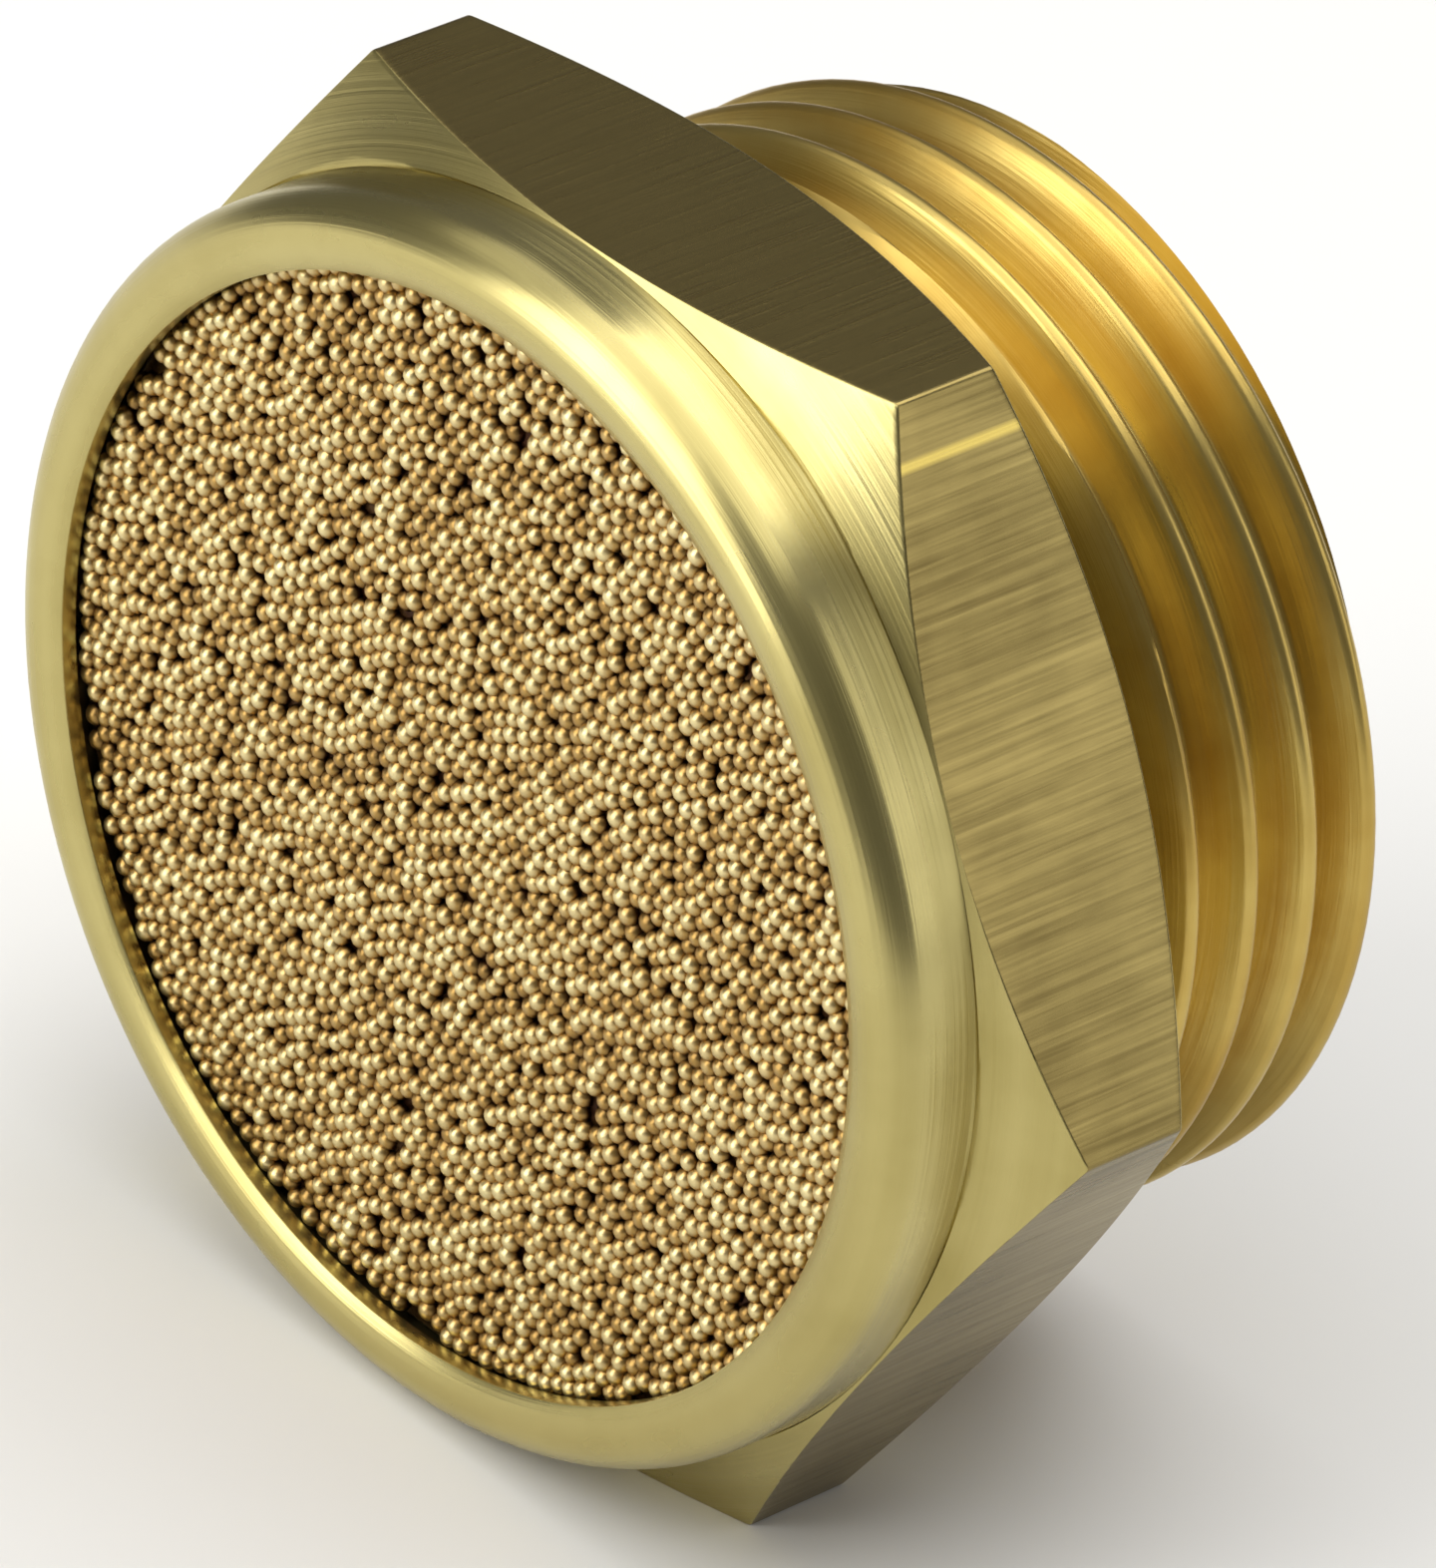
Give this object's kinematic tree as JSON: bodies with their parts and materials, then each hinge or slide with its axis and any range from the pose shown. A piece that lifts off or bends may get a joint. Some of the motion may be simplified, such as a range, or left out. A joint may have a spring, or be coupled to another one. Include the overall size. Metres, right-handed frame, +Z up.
{
  "type": "pneumatic muffler",
  "caption": "Flush exhaust silencer for compressed air: a hexagon brass body with a short male pipe thread and a porous sintered bronze disc held by a rolled lip.",
  "frame": {"origin": "On the thread's axis, in the plane of the flat shoulder that seals against the port", "axes": "+Y along the thread's axis, out of the head and into the port; the porous disc faces -Y; +Z up, square to the uppermost of the hexagon's flats, with the opposite flat lying down; +X to the right of someone who looks at the disc"},
  "size_m": [0.0346, 0.017, 0.03],
  "materials": {
    "turned_brass": "bare free-machining brass, turned on the front and thread, drawn finish on the hexagon's flats",
    "sintered_bronze": "porous bed of sintered bronze beads, about 0.6 mm each"
  },
  "bodies": {
    "root": {"threaded_body": "turned_brass", "sintered_disc": "sintered_bronze"}
  },
  "joints": []
}
